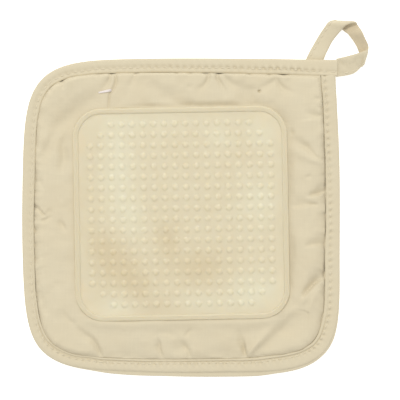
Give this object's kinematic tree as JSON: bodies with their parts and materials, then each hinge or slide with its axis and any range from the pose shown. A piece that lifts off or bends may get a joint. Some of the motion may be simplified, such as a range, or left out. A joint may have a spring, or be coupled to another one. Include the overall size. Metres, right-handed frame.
{
  "type": "pot holder",
  "caption": "Square padded cotton pot holder, lying on its back, with a folded tape binding, a hanging loop at its square corner and a silicone grip patch with low round dots.",
  "frame": {"origin": "middle of the flat back, on the surface that the pot holder lies on", "axes": "+Z out of the front, +Y towards the side with the hanging loop, +X to the right seen from the front"},
  "size_m": [0.2181, 0.2238, 0.0102],
  "materials": {
    "cotton_cloth": "matt plain-woven cotton in natural beige, slightly creased",
    "cotton_tape": "matt cotton bias tape in the same beige, topstitched",
    "silicone": "satin translucent silicone in pale cream"
  },
  "bodies": {
    "root": {"pad": "cotton_cloth", "binding": "cotton_tape", "hanging_loop": "cotton_tape", "grip_patch": "silicone"}
  },
  "joints": []
}
